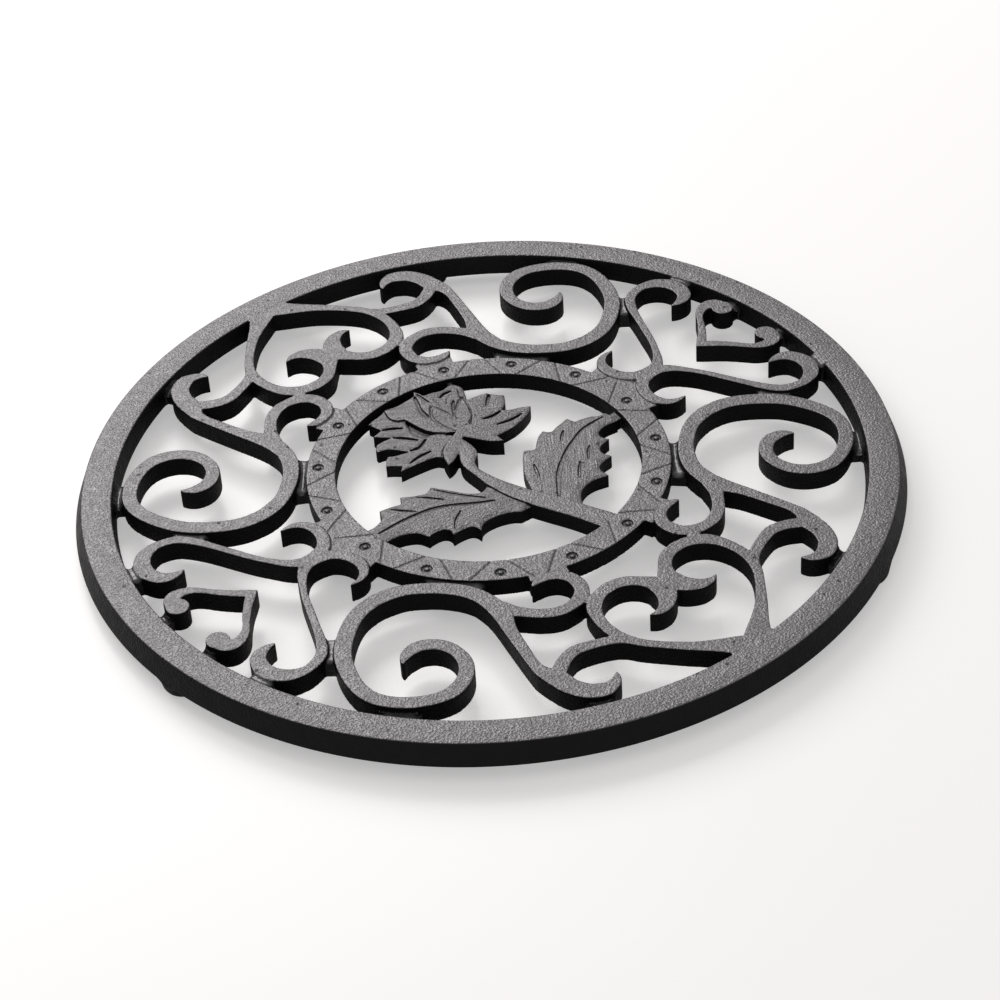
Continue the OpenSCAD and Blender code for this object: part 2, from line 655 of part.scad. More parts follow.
color("dimgray") rim_solid();  // rim
foot(foot_angles[0]);  // foot_left
foot(foot_angles[1]);  // foot_front
foot(foot_angles[2]);  // foot_back
band_ring();
big_scroll(1, 1);  // big_scroll_ne
big_scroll(-1, 1);  // big_scroll_nw
big_scroll(-1, -1);  // big_scroll_sw
big_scroll(1, -1);  // big_scroll_se
ring_hook(1, 1);  // ring_hook_ne
ring_hook(-1, 1);  // ring_hook_nw
ring_hook(-1, -1);  // ring_hook_sw
ring_hook(1, -1);  // ring_hook_se
saddle_bar(1, 1);  // saddle_bar_ne
saddle_bar(-1, 1);  // saddle_bar_nw
saddle_bar(-1, -1);  // saddle_bar_sw
saddle_bar(1, -1);  // saddle_bar_se
fleur(1);  // fleur_top
fleur(-1);  // fleur_bottom
lyre(-1);  // lyre_left
lyre(1);  // lyre_right
heart(-1);  // heart_left
heart(1);  // heart_right
necks(hook_neck_shares, neck_drop) big_scroll_plan();  // hook_necks
necks(spiral_neck_shares, neck_drop) big_scroll_plan();  // spiral_necks
necks(lyre_neck_shares, full_neck_share * neck_drop) lyre_plan();  // lyre_necks
necks(heart_neck_shares, neck_drop) heart_plan();  // heart_necks
scroll_necks();
band_webs();
left_petals();
right_petals();
bud();
sepals();
stem();
left_leaf();
right_leaf();
flower_ties();
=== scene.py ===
import math

import bmesh
import bpy
import numpy as np
from mathutils import Matrix, Vector
from mathutils.kdtree import KDTree


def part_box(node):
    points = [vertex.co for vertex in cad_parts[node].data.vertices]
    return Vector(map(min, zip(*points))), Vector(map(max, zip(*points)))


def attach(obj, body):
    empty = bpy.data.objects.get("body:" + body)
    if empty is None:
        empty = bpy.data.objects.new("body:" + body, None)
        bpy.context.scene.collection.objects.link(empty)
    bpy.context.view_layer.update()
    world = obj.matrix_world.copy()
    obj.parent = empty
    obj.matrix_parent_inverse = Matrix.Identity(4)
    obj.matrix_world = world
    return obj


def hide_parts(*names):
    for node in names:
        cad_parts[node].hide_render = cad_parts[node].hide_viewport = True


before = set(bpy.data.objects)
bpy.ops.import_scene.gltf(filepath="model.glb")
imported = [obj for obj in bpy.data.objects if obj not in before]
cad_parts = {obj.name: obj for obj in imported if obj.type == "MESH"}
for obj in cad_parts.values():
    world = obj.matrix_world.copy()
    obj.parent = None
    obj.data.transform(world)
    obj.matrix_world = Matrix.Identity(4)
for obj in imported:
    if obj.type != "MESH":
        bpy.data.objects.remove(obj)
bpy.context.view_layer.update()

# Sizes of the casting, in metres. The CAD parts give the rest.
MM = 0.001
RIM_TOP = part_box("rim")[1].z
RIM_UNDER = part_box("rim")[0].z
RIM_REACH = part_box("rim")[1].y
RIM_FLAT = 7.4 * MM
RIM_OUTER_DRAFT = 2.2 * MM
RIM_INNER_DRAFT = 0.8 * MM
RIM_ROUND = 0.5 * MM
RIM_STEPS = 720
ROUND_STEPS = 4
BAND_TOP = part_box("band_ring")[1].z
MARK_COUNT = 15
MARK_CIRCLE = 42.09 * MM
STUD_R = 0.52 * MM

# The soft skins that give the casting its rounded edges: the size of their faces, how often
# they are smoothed, and the share of its faces that the plain band keeps
WELD = 0.002 * MM
SCROLL_GRAIN = 0.28 * MM
FLOWER_GRAIN = 0.165 * MM
BAND_GRAIN = 0.19 * MM
SCROLL_SMOOTHING = 3
FINE_SMOOTHING = 2
THINNED = {"band_ring": 0.46}

# A skin reaches this far over its neighbours. Past the first share of that it sinks under
# them by up to the dip, so that no two skins lie in one place.
APRON = 0.7 * MM
APRON_START = 0.35
DIP = 0.09 * MM

# Names of what a skin stores: the number of the nearest node, and the whole casting's normals
NUMBER = "node_number"
NORMAL = "casting_normal"

# A skin is a wall where its normal rises or falls less than this, and a top where it rises more
WALL_RISE = 0.6

# Pieces whose tops aren't flat, in metres: how far in their edges fall away, how deep, how
# deep the dark line at the foot of a higher petal is, and how far the middle of a tie sags
CROWN = {
    "bud": (0.8 * MM, 0.16 * MM, 0.5 * MM, 0),
    "left_petals": (1.0 * MM, 0.2 * MM, 0.5 * MM, 0),
    "right_petals": (1.0 * MM, 0.2 * MM, 0.5 * MM, 0),
    "sepals": (0.8 * MM, 0.16 * MM, 0.5 * MM, 0),
    "stem": (1.5 * MM, 0.25 * MM, 0, 0),
    "left_leaf": (2.4 * MM, 0.45 * MM, 0, 0),
    "right_leaf": (2.4 * MM, 0.45 * MM, 0, 0),
    "hook_necks": (2.0 * MM, 0.7 * MM, 0, 0.8 * MM),
    "spiral_necks": (2.6 * MM, 0.7 * MM, 0, 0.8 * MM),
    "heart_necks": (1.4 * MM, 0.6 * MM, 0, 0.7 * MM),
    "lyre_necks": (1.6 * MM, 0.5 * MM, 0, 0),
    "scroll_necks": (1.2 * MM, 0.4 * MM, 0, 0),
    "band_webs": (1.6 * MM, 0.5 * MM, 0, 0.4 * MM),
}
FOOT_LINE_W = 0.6 * MM
TIE_HALF = 1.15 * MM
WALL_PASSES = 40

# Walls that reach below the first level are the outline of a piece. Walls above the second
# belong to the bars that stand over the ties.
OUTER_WALL = BAND_TOP - 2 * MM
TIE_TOP = BAND_TOP - 0.9 * MM

# The bud's pit is raised from the first heights to the second
BUD_LEVELS = (5.5 * MM, 7 * MM, 8 * MM)
BUD_RAISED = (5.5 * MM, 7.7 * MM, 8 * MM)

# Cast iron: the dark of its walls, the grey of the painted sheen on its tops, and the darker grey of the
# ties, whose painted sheen is dimmed as painted shade because they sit low between the bars
DARK = (0.005, 0.005, 0.0053, 1)
TOP_SHEEN_GREY = (0.235, 0.226, 0.231, 1)
TIE_SHADED_SHEEN_GREY = (0.130, 0.126, 0.129, 1)

# Rise of the normal at which the painted sheen of the tops starts and at which it is full
SHEEN_FROM = 0.55
SHEEN_FULL = 0.97

# Depths under the band's top at which its sunk marks are darkest and at which they are clear: painted shade,
# the sheen of the tops taken out of them
MARK_DARK = 0.24 * MM
MARK_CLEAR = 0.05 * MM

# The span of values that the soft noises really take
NOISE_SPAN = (0.3, 0.7)

# Each finish: grains, lumps and pits per metre, height of the relief in metres, roughness
# and, where they differ from the usual, gloss of the walls, grey of the painted sheen on the tops, file
# strokes and their turn
LEAF = {"grain": 2000, "lumps": 240, "pits": 200, "relief": 0.22 * MM, "rough": 0.4, "strokes": 0.2}
IRONS = {
    "rim_iron": {"grain": 1800, "lumps": 330, "pits": 200, "relief": 0.22 * MM, "rough": 0.46, "gloss": 0.2},
    "scroll_iron": {"grain": 1850, "lumps": 300, "pits": 200, "relief": 0.2 * MM, "rough": 0.46},
    "band_iron": {
        "grain": 1950, "lumps": 260, "pits": 220, "relief": 0.2 * MM, "rough": 0.44, "level": BAND_TOP,
    },
    # The ties' sheen is a darker grey: painted shade of their low place between the bars
    "neck_iron": {
        "grain": 900, "lumps": 400, "pits": 100, "relief": 0.12 * MM, "rough": 0.33,
        "light": TIE_SHADED_SHEEN_GREY, "gloss": 0.5,
    },
    "petal_iron": {**LEAF, "turn": 35},
    "stem_iron": {
        "grain": 1900, "lumps": 240, "pits": 200, "relief": 0.22 * MM, "rough": 0.43,
        "strokes": 0.1, "turn": -72,
    },
    "left_leaf_iron": {**LEAF, "turn": 12},
    "right_leaf_iron": {**LEAF, "turn": -52},
}

# The finish of each node. All others are scroll_iron.
NODE_FINISH = {
    "rim": "rim_iron",
    "foot_left": "rim_iron",
    "foot_front": "rim_iron",
    "foot_back": "rim_iron",
    "band_ring": "band_iron",
    "hook_necks": "neck_iron",
    "spiral_necks": "neck_iron",
    "lyre_necks": "neck_iron",
    "heart_necks": "neck_iron",
    "scroll_necks": "neck_iron",
    "band_webs": "neck_iron",
    "bud": "petal_iron",
    "left_petals": "petal_iron",
    "right_petals": "petal_iron",
    "sepals": "petal_iron",
    "stem": "stem_iron",
    "left_leaf": "left_leaf_iron",
    "right_leaf": "right_leaf_iron",
    "flower_ties": "neck_iron",
}

# The camera, worked out from the round edges in the photo. The last two values are how far
# right and down the middle of the trivet lies from the middle of the picture.
CAMERA_AZIMUTH = 232.45
CAMERA_ELEVATION = 38.11
CAMERA_ROLL = -4.12
CAMERA_DISTANCE = 0.6441
CAMERA_LENS = 94.45
CAMERA_CLIP = 0.01
SENSOR = 36.0
CENTRE_RIGHT = -0.00287
CENTRE_DOWN = -0.00948

# The studio: a wide soft lamp behind the trivet, even fill, and a pale table
LAMP_AZIMUTH = CAMERA_AZIMUTH - 153
LAMP_ELEVATION = 39
LAMP_DISTANCE = 1.0
LAMP_SIZE = (0.9, 0.5)
LAMP_POWER = 5.6
FILL_COLOUR = (1, 0.995, 0.99, 1)
FILL_STRENGTH = 0.41
FILL_SEEN = 1.0
TABLE_COLOUR = (0.82, 0.785, 0.78, 1)
TABLE_ROUGH = 0.3
TABLE_GLOSS = 0.35
TABLE_LIFT = 0.39
TABLE_HALF = 4.0


# Shader nodes


def add_node(tree, kind, place, **values):
    """A shader node at a place, with its plain values set."""
    node = tree.nodes.new(kind)
    node.location = place
    for name, value in values.items():
        if hasattr(node, name):
            setattr(node, name, value)
        else:
            node.inputs[name.replace("_", " ")].default_value = value
    return node


def math_node(tree, operation, place, first, second):
    """A math node fed by sockets or by plain numbers."""
    node = tree.nodes.new("ShaderNodeMath")
    node.operation = operation
    node.location = place
    for slot, value in enumerate((first, second)):
        if isinstance(value, (int, float)):
            node.inputs[slot].default_value = value
        else:
            tree.links.new(value, node.inputs[slot])
    return node.outputs[0]


def group_tree(name, inputs, outputs):
    """An empty shader group with number or vector inputs that have start values, and number outputs."""
    group = bpy.data.node_groups.new(name, "ShaderNodeTree")
    for socket_name, start in inputs:
        kind = "NodeSocketVector" if isinstance(start, tuple) else "NodeSocketFloat"
        socket = group.interface.new_socket(name=socket_name, in_out="INPUT", socket_type=kind)
        socket.default_value = start
    for socket_name in outputs:
        group.interface.new_socket(name=socket_name, in_out="OUTPUT", socket_type="NodeSocketFloat")
    entry = add_node(group, "NodeGroupInput", (-1000, 0))
    return group, entry, add_node(group, "NodeGroupOutput", (900, 0))


def map_range(tree, place, value, before, after, smooth=False):
    """A value mapped from one range to another."""
    node = add_node(tree, "ShaderNodeMapRange", place)
    if smooth:
        node.interpolation_type = "SMOOTHSTEP"
    for name, number in zip(("From Min", "From Max", "To Min", "To Max"), before + after):
        node.inputs[name].default_value = number
    tree.links.new(value, node.inputs["Value"])
    return node.outputs[0]


def cast_skin_group():
    """Sand grain, soft lumps and a few pits, as masks and as one height."""
    grain_share, lump_share, pit_share = 0.7, 1.1, -0.5
    pit_edge = (0.05, 0.13)
    inputs = (("Grain per metre", 1500.0), ("Lumps per metre", 260.0), ("Pits per metre", 500.0))
    group, entry, end = group_tree("cast_skin", inputs, ("Grain", "Lumps", "Pits", "Height"))
    where = add_node(group, "ShaderNodeTexCoord", (-1000, 300))
    link = group.links.new
    grain = add_node(group, "ShaderNodeTexNoise", (-600, 400), Detail=1.5, Roughness=0.5)
    lumps = add_node(group, "ShaderNodeTexNoise", (-600, 100), Detail=2.0, Roughness=0.5)
    pits = add_node(group, "ShaderNodeTexVoronoi", (-600, -200), Randomness=1.0)
    scales = ((grain, "Grain per metre"), (lumps, "Lumps per metre"), (pits, "Pits per metre"))
    for node, socket in scales:
        link(where.outputs["Object"], node.inputs["Vector"])
        link(entry.outputs[socket], node.inputs["Scale"])
    pit_mask = map_range(group, (-300, -200), pits.outputs["Distance"], pit_edge, (1.0, 0.0), True)
    fine = map_range(group, (-300, 400), grain.outputs["Fac"], NOISE_SPAN, (0.0, 1.0))
    soft = math_node(group, "MULTIPLY", (0, 300), fine, grain_share)
    broad = math_node(group, "MULTIPLY", (0, 100), lumps.outputs["Fac"], lump_share)
    holes = math_node(group, "MULTIPLY", (0, -100), pit_mask, pit_share)
    height = math_node(group, "ADD", (200, 200), soft, broad)
    height = math_node(group, "ADD", (400, 100), height, holes)
    link(fine, end.inputs["Grain"])
    link(lumps.outputs["Fac"], end.inputs["Lumps"])
    link(pit_mask, end.inputs["Pits"])
    link(height, end.inputs["Height"])
    return group


def sheen_facing_up_group():
    """How far a face looks up, which is where the casting gets its painted sheen: a greyer colour and a
    metallic shine on the tops.
    """
    group, _, end = group_tree("sheen_facing_up", (), ("Facing up",))
    shape = add_node(group, "ShaderNodeNewGeometry", (-600, 0))
    split = add_node(group, "ShaderNodeSeparateXYZ", (-400, 0))
    group.links.new(shape.outputs["Normal"], split.inputs[0])
    painted_sheen = (SHEEN_FROM, SHEEN_FULL)
    up = map_range(group, (-200, 0), split.outputs["Z"], painted_sheen, (0.0, 1.0), True)
    group.links.new(up, end.inputs["Facing up"])
    return group


def file_strokes_group():
    """Long fine strokes of a file, turned to lie along a piece."""
    squeeze = (0.06, 1.0, 0.3)
    stroke_edge = (0.38, 0.62)
    inputs = (("Turn", (0.0, 0.0, 0.0)), ("Strokes per metre", 2600.0))
    group, entry, end = group_tree("file_strokes", inputs, ("Strokes",))
    where = add_node(group, "ShaderNodeTexCoord", (-1000, 300))
    turned = add_node(group, "ShaderNodeVectorRotate", (-800, 200), rotation_type="EULER_XYZ")
    squeezed = add_node(group, "ShaderNodeVectorMath", (-600, 200), operation="MULTIPLY")
    squeezed.inputs[1].default_value = squeeze
    strokes = add_node(group, "ShaderNodeTexNoise", (-400, 200), Detail=3.0, Roughness=0.6)
    link = group.links.new
    link(where.outputs["Object"], turned.inputs["Vector"])
    link(entry.outputs["Turn"], turned.inputs["Rotation"])
    link(turned.outputs[0], squeezed.inputs[0])
    link(squeezed.outputs[0], strokes.inputs["Vector"])
    link(entry.outputs["Strokes per metre"], strokes.inputs["Scale"])
    sharp = map_range(group, (-200, 200), strokes.outputs["Fac"], stroke_edge, (0.0, 1.0))
    link(sharp, end.inputs["Strokes"])
    return group


def iron(name, grain, lumps, pits, relief, rough, light=TOP_SHEEN_GREY, gloss=0.12, strokes=0.0, turn=0.0, level=None):
    """Black cast iron: near-black walls, a greyer painted sheen on what faces up, sand grain and pits."""
    shine = 0.8
    grain_tones = (0.72, 1.28)
    sheen_in_pits, sheen_in_marks = 0.35, 0.4
    ridge_share = 1.6
    rough_spread = 0.06
    bump_strength = 0.9
    mix_amount, first_colour, second_colour = 0, 6, 7
    material = bpy.data.materials.new(name)
    material.use_nodes = True
    tree = material.node_tree
    tree.nodes.clear()
    link = tree.links.new
    skin = add_node(tree, "ShaderNodeGroup", (-1100, 100))
    skin.node_tree = groups["cast_skin"]
    skin.inputs["Grain per metre"].default_value = grain
    skin.inputs["Lumps per metre"].default_value = lumps
    skin.inputs["Pits per metre"].default_value = pits
    faces = add_node(tree, "ShaderNodeGroup", (-1100, 400))
    faces.node_tree = groups["sheen_facing_up"]
    height = skin.outputs["Height"]
    speckle = map_range(tree, (-800, 300), skin.outputs["Grain"], (0.0, 1.0), grain_tones)
    # Painted sheen: the colour turns grey as far as a face looks up, varied by the grain
    amount = math_node(tree, "MULTIPLY", (-600, 300), faces.outputs["Facing up"], speckle)
    # Painted shade in the pits: the sheen there is weaker
    pit_shade = map_range(tree, (-800, 0), skin.outputs["Pits"], (0.0, 1.0), (1.0, sheen_in_pits))
    amount = math_node(tree, "MULTIPLY", (-400, 200), amount, pit_shade)
    if strokes:
        ridge_height = ridge_share * strokes
        filed = add_node(tree, "ShaderNodeGroup", (-1100, -300))
        filed.node_tree = groups["file_strokes"]
        filed.inputs["Turn"].default_value = (0, 0, math.radians(turn))
        lighter = (1 - strokes, 1 + strokes)
        streaks = map_range(tree, (-800, -300), filed.outputs["Strokes"], (0.0, 1.0), lighter)
        amount = math_node(tree, "MULTIPLY", (-250, 100), amount, streaks)
        ridges = math_node(tree, "MULTIPLY", (-600, -450), filed.outputs["Strokes"], ridge_height)
        height = math_node(tree, "ADD", (-400, -400), height, ridges)
    # Painted shade in the band's sunk marks: less sheen below its top
    if level is not None:
        where = add_node(tree, "ShaderNodeTexCoord", (-1100, 700))
        split = add_node(tree, "ShaderNodeSeparateXYZ", (-900, 700))
        link(where.outputs["Object"], split.inputs[0])
        depths = (level - MARK_DARK, level - MARK_CLEAR)
        clearer = (sheen_in_marks, 1.0)
        raised = map_range(tree, (-700, 700), split.outputs["Z"], depths, clearer, True)
        amount = math_node(tree, "MULTIPLY", (-150, 500), amount, raised)
    colour = add_node(tree, "ShaderNodeMix", (0, 300), data_type="RGBA")
    colour.clamp_factor = False
    colour.inputs[first_colour].default_value = DARK
    colour.inputs[second_colour].default_value = light
    link(amount, colour.inputs[mix_amount])
    # Painted sheen: the tops are made metallic as far as they face up
    painted_sheen = math_node(tree, "MULTIPLY", (0, 50), faces.outputs["Facing up"], shine)
    roughs = (rough + rough_spread, rough - rough_spread)
    roughness = map_range(tree, (0, -150), skin.outputs["Lumps"], NOISE_SPAN, roughs)
    bump = add_node(tree, "ShaderNodeBump", (0, -400), Strength=bump_strength, Distance=relief)
    link(height, bump.inputs["Height"])
    surface = add_node(tree, "ShaderNodeBsdfPrincipled", (300, 100))
    surface.inputs["Specular IOR Level"].default_value = gloss
    link(colour.outputs[2], surface.inputs["Base Color"])
    link(painted_sheen, surface.inputs["Metallic"])
    link(roughness, surface.inputs["Roughness"])
    link(bump.outputs[0], surface.inputs["Normal"])
    output = add_node(tree, "ShaderNodeOutputMaterial", (600, 100))
    link(surface.outputs[0], output.inputs["Surface"])
    return material


def floor_finish():
    """Pale table. It keeps the shadow, and the camera sees it a little lifted towards white."""
    material = bpy.data.materials.new("pale_table")
    material.use_nodes = True
    tree = material.node_tree
    tree.nodes.clear()
    link = tree.links.new
    table = add_node(tree, "ShaderNodeBsdfPrincipled", (-300, 100))
    table.inputs["Base Color"].default_value = TABLE_COLOUR
    table.inputs["Roughness"].default_value = TABLE_ROUGH
    table.inputs["Specular IOR Level"].default_value = TABLE_GLOSS
    glow = add_node(tree, "ShaderNodeEmission", (-300, -250))
    path = add_node(tree, "ShaderNodeLightPath", (-700, -250))
    lift = math_node(tree, "MULTIPLY", (-500, -250), path.outputs["Is Camera Ray"], TABLE_LIFT)
    link(lift, glow.inputs["Strength"])
    both = add_node(tree, "ShaderNodeAddShader", (0, 0))
    link(table.outputs[0], both.inputs[0])
    link(glow.outputs[0], both.inputs[1])
    output = add_node(tree, "ShaderNodeOutputMaterial", (250, 0))
    link(both.outputs[0], output.inputs["Surface"])
    return material


# Shapes of the casting


def as_array(items, key, kind=float, width=1):
    """One property of all items of a mesh as an array, with a row for each item if it is wide."""
    values = np.empty(len(items) * width, dtype=kind)
    items.foreach_get(key, values)
    return values.reshape(-1, width) if width > 1 else values


def own_normals(mesh):
    """The vertex normals of a mesh."""
    return as_array(mesh.vertex_normals, "vector", np.float32, 3)


def placed(name, mesh):
    """A new object with this mesh in the scene."""
    piece = bpy.data.objects.new(name, mesh)
    bpy.context.scene.collection.objects.link(piece)
    return piece


def evaluated(maker):
    """The plain mesh that an object's modifiers make."""
    return bpy.data.meshes.new_from_object(maker.evaluated_get(bpy.context.evaluated_depsgraph_get()))


def add_geometry_nodes(maker, tree, values):
    """Puts a geometry tree on an object, with its named inputs set."""
    modifier = maker.modifiers.new(tree.name, "NODES")
    modifier.node_group = tree
    for socket in tree.interface.items_tree:
        if socket.in_out == "INPUT" and socket.name in values:
            modifier[socket.identifier] = values[socket.name]


def plain_mesh(name, tree, values):
    """The plain mesh that a geometry tree makes from these named values."""
    maker = placed(name, bpy.data.meshes.new(name))
    add_geometry_nodes(maker, tree, values)
    mesh = evaluated(maker)
    bpy.data.objects.remove(maker)
    mesh.shade_smooth()
    return mesh


def new_tree(name, sizes, counts=()):
    """A geometry tree with a float input for each size, an integer for each count and a finish."""
    tree = bpy.data.node_groups.new(name, "GeometryNodeTree")
    for size in sizes:
        tree.interface.new_socket(name=size, in_out="INPUT", socket_type="NodeSocketFloat")
    for count in counts:
        tree.interface.new_socket(name=count, in_out="INPUT", socket_type="NodeSocketInt")
    tree.interface.new_socket(name="Finish", in_out="INPUT", socket_type="NodeSocketMaterial")
    tree.interface.new_socket(name="Shape", in_out="OUTPUT", socket_type="NodeSocketGeometry")
    return tree, add_node(tree, "NodeGroupInput", (-900, 0))


def close_tree(tree, entry, shape):
    """Ends a geometry tree in real geometry with its finish."""
    real = add_node(tree, "GeometryNodeRealizeInstances", (600, 0))
    finish = add_node(tree, "GeometryNodeSetMaterial", (800, 0))
    end = add_node(tree, "NodeGroupOutput", (1000, 0))
    tree.links.new(shape, real.inputs["Geometry"])
    tree.links.new(real.outputs["Geometry"], finish.inputs["Geometry"])
    tree.links.new(entry.outputs["Finish"], finish.inputs["Material"])
    tree.links.new(finish.outputs["Geometry"], end.inputs["Shape"])


def rim_tree():
    """The rim: a tapered section with round corners, swept round a circle of any radius within it."""
    path_r = 0.05
    sizes = ("Reach", "Flat", "Top", "Underside", "Outer draft", "Inner draft", "Rounding")
    tree, entry = new_tree("rim_sweep", sizes, ("Steps", "Corner steps"))
    size = entry.outputs
    section = add_node(tree, "GeometryNodeCurvePrimitiveQuadrilateral", (-100, 300), mode="POINTS")
    outer_top = math_node(tree, "SUBTRACT", (-700, 500), size["Reach"], size["Outer draft"])
    inner_top = math_node(tree, "SUBTRACT", (-500, 400), outer_top, size["Flat"])
    inner_low = math_node(tree, "SUBTRACT", (-300, 300), inner_top, size["Inner draft"])
    drop = math_node(tree, "SUBTRACT", (-500, 100), size["Top"], size["Underside"])
    corners = ((inner_low, drop), (size["Reach"], drop), (outer_top, None), (inner_top, None))
    for number, (out, down) in enumerate(corners, 1):
        row = 200 - 150 * number
        point = add_node(tree, "ShaderNodeCombineXYZ", (-300, row))
        tree.links.new(math_node(tree, "SUBTRACT", (-450, row), out, path_r), point.inputs["X"])
        if down:
            tree.links.new(down, point.inputs["Y"])
        tree.links.new(point.outputs[0], section.inputs["Point %d" % number])
    fillet = add_node(tree, "GeometryNodeFilletCurve", (100, 300))
    fillet.mode = "POLY"
    tree.links.new(section.outputs[0], fillet.inputs["Curve"])
    tree.links.new(size["Rounding"], fillet.inputs["Radius"])
    tree.links.new(size["Corner steps"], fillet.inputs["Count"])
    path = add_node(tree, "GeometryNodeCurvePrimitiveCircle", (100, 0), Radius=path_r)
    tree.links.new(size["Steps"], path.inputs["Resolution"])
    sweep = add_node(tree, "GeometryNodeCurveToMesh", (300, 100))
    tree.links.new(path.outputs[0], sweep.inputs["Curve"])
    tree.links.new(fillet.outputs[0], sweep.inputs["Profile Curve"])
    lift = add_node(tree, "ShaderNodeCombineXYZ", (300, -200))
    tree.links.new(size["Top"], lift.inputs["Z"])
    raised = add_node(tree, "GeometryNodeTransform", (450, 0))
    tree.links.new(sweep.outputs[0], raised.inputs["Geometry"])
    tree.links.new(lift.outputs[0], raised.inputs["Translation"])
    close_tree(tree, entry, raised.outputs[0])
    return tree


def stud_tree():
    """The small round studs in the middle of the band's ring marks, sunk so that only their caps show."""
    sunk_share = 1.15
    tree, entry = new_tree("band_studs", ("Circle radius", "Top", "Stud radius"), ("Studs",))
    size = entry.outputs
    circle = add_node(tree, "GeometryNodeMeshCircle", (-500, 200))
    tree.links.new(size["Studs"], circle.inputs["Vertices"])
    tree.links.new(size["Circle radius"], circle.inputs["Radius"])
    stud = add_node(tree, "GeometryNodeMeshUVSphere", (-500, -100), Segments=20, Rings=12)
    tree.links.new(size["Stud radius"], stud.inputs["Radius"])
    copies = add_node(tree, "GeometryNodeInstanceOnPoints", (-200, 100))
    tree.links.new(circle.outputs["Mesh"], copies.inputs["Points"])
    tree.links.new(stud.outputs["Mesh"], copies.inputs["Instance"])
    turn = add_node(tree, "ShaderNodeCombineXYZ", (-200, -300), Z=math.pi / 2)
    sink = math_node(tree, "MULTIPLY", (-500, -400), size["Stud radius"], sunk_share)
    level = math_node(tree, "SUBTRACT", (-350, -400), size["Top"], sink)
    lift = add_node(tree, "ShaderNodeCombineXYZ", (-200, -450))
    tree.links.new(level, lift.inputs["Z"])
    raised = add_node(tree, "GeometryNodeTransform", (100, 0))
    tree.links.new(copies.outputs[0], raised.inputs["Geometry"])
    tree.links.new(lift.outputs[0], raised.inputs["Translation"])
    tree.links.new(turn.outputs[0], raised.inputs["Rotation"])
    close_tree(tree, entry, raised.outputs[0])
    return tree


def joined_solids(nodes):
    """The CAD solids of some nodes in one mesh. Each face knows the number of its node."""
    places = []
    corners = []
    numbers = []
    for number, node in enumerate(nodes):
        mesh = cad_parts[node].data
        first = len(places)
        places.extend(tuple(v.co) for v in mesh.vertices)
        corners.extend(tuple(first + i for i in p.vertices) for p in mesh.polygons)
        numbers.extend([number] * len(mesh.polygons))
    mesh = bpy.data.meshes.new("joined_solids")
    mesh.from_pydata(places, [], corners)
    bm = bmesh.new()
    bm.from_mesh(mesh)
    label = bm.faces.layers.float.new(NUMBER)
    bm.faces.ensure_lookup_table()
    for face, number in zip(bm.faces, numbers):
        face[label] = number
    bmesh.ops.remove_doubles(bm, verts=bm.verts, dist=WELD)
    bm.to_mesh(mesh)
    bm.free()
    return placed("joined_solids", mesh)


def numbering_tree():
    """Numbers each face of a skin by the nearest kept CAD node, and cuts off what reaches past its apron."""
    tree = bpy.data.node_groups.new("number_by_nearest_node", "GeometryNodeTree")
    inputs = {"Skin": "Geometry", "Solids": "Object", "Apron": "Float", "Dip": "Float", "Finish": "Material"}
    for name, kind in inputs.items():
        tree.interface.new_socket(name=name, in_out="INPUT", socket_type="NodeSocket" + kind)
    tree.interface.new_socket(name="Shape", in_out="OUTPUT", socket_type="NodeSocketGeometry")
    entry = add_node(tree, "NodeGroupInput", (-900, 0))
    solids = add_node(tree, "GeometryNodeObjectInfo", (-600, -200), transform_space="ORIGINAL")
    number = add_node(tree, "GeometryNodeInputNamedAttribute", (-600, -400), data_type="FLOAT")
    number.inputs["Name"].default_value = NUMBER
    nearest = add_node(tree, "GeometryNodeSampleNearestSurface", (-300, -200), data_type="FLOAT")
    store = add_node(tree, "GeometryNodeStoreNamedAttribute", (0, 0), data_type="FLOAT", domain="FACE")
    store.inputs["Name"].default_value = NUMBER
    near = add_node(tree, "GeometryNodeProximity", (-300, -600), target_element="FACES")
    trim = add_node(tree, "GeometryNodeDeleteGeometry", (300, 0), domain="FACE")
    link = tree.links.new
    link(entry.outputs["Solids"], solids.inputs["Object"])
    link(solids.outputs["Geometry"], nearest.inputs["Mesh"])
    link(solids.outputs["Geometry"], near.inputs["Geometry"])
    link(number.outputs["Attribute"], nearest.inputs["Value"])
    link(entry.outputs["Skin"], store.inputs["Geometry"])
    link(nearest.outputs["Value"], store.inputs["Value"])
    start = math_node(tree, "MULTIPLY", (-300, -900), entry.outputs["Apron"], APRON_START)
    dip = add_node(tree, "ShaderNodeMapRange", (0, -900))
    link(near.outputs["Distance"], dip.inputs["Value"])
    link(start, dip.inputs["From Min"])
    link(entry.outputs["Apron"], dip.inputs["From Max"])
    link(math_node(tree, "MULTIPLY", (-300, -1100), entry.outputs["Dip"], -1), dip.inputs["To Max"])
    outward = add_node(tree, "GeometryNodeInputNormal", (0, -1200))
    sunk = add_node(tree, "ShaderNodeVectorMath", (200, -1000), operation="SCALE")
    link(outward.outputs[0], sunk.inputs[0])
    link(dip.outputs[0], sunk.inputs["Scale"])
    lower = add_node(tree, "GeometryNodeSetPosition", (450, 200))
    link(store.outputs["Geometry"], lower.inputs["Geometry"])
    link(sunk.outputs[0], lower.inputs["Offset"])
    link(lower.outputs["Geometry"], trim.inputs["Geometry"])
    past = math_node(tree, "GREATER_THAN", (0, -600), near.outputs["Distance"], entry.outputs["Apron"])
    link(past, trim.inputs["Selection"])
    close_tree(tree, entry, trim.outputs["Geometry"])
    return tree


